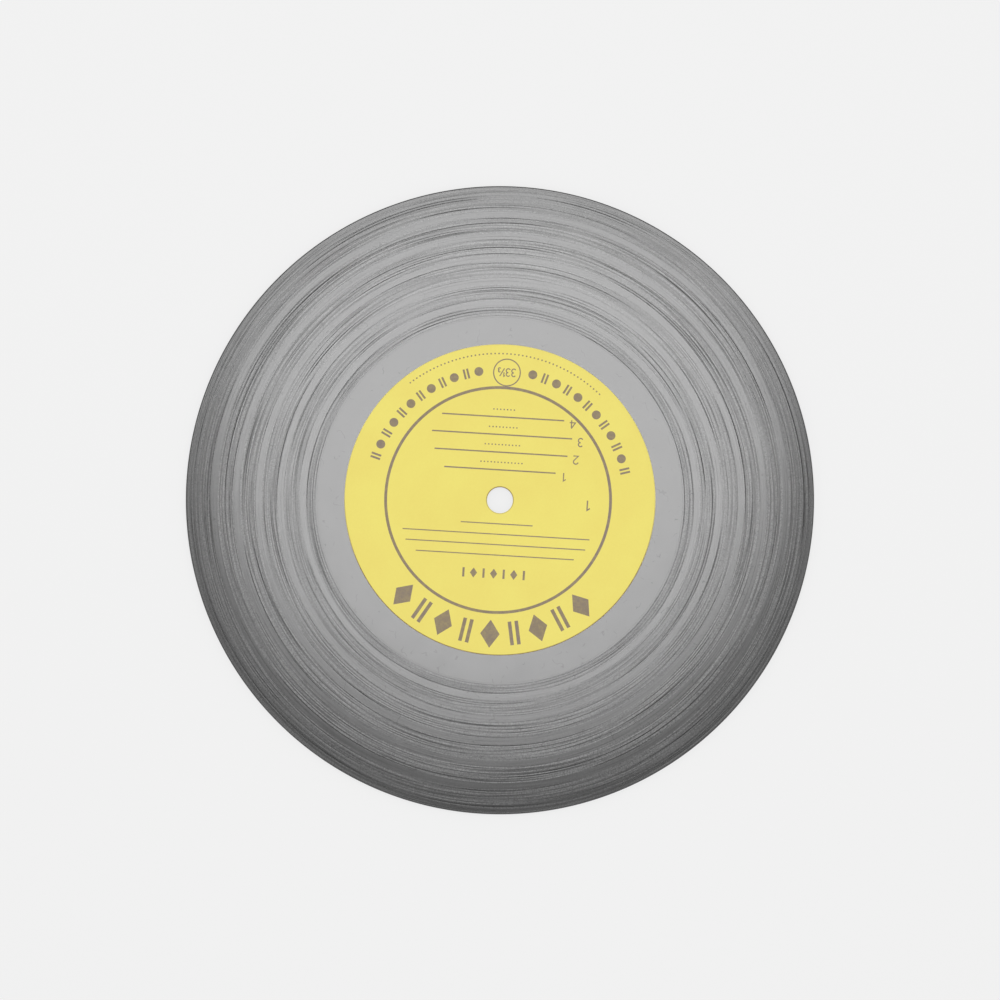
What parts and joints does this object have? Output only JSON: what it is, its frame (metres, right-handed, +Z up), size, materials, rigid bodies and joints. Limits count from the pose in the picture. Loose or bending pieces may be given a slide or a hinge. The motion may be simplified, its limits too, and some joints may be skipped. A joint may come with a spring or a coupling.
{
  "type": "vinyl record",
  "caption": "Round pressed vinyl record with a spindle hole, a paper label on a smooth raised pad on each side, grooved playing field and raised rim bead.",
  "frame": {"origin": "on the spindle axis, on the face of the lower label, which is the plane that the record lies on", "axes": "+Z up along the spindle axis, out of side 1; +Y towards the top of the picture; +X towards its right"},
  "size_m": [0.1746, 0.1746, 0.0016],
  "materials": {
    "vinyl": "semi-gloss pressed grooves",
    "label_paper": "matte printed paper"
  },
  "bodies": {
    "root": {"disc": "vinyl", "label_side_1": "label_paper", "label_side_2": "label_paper"}
  },
  "joints": []
}
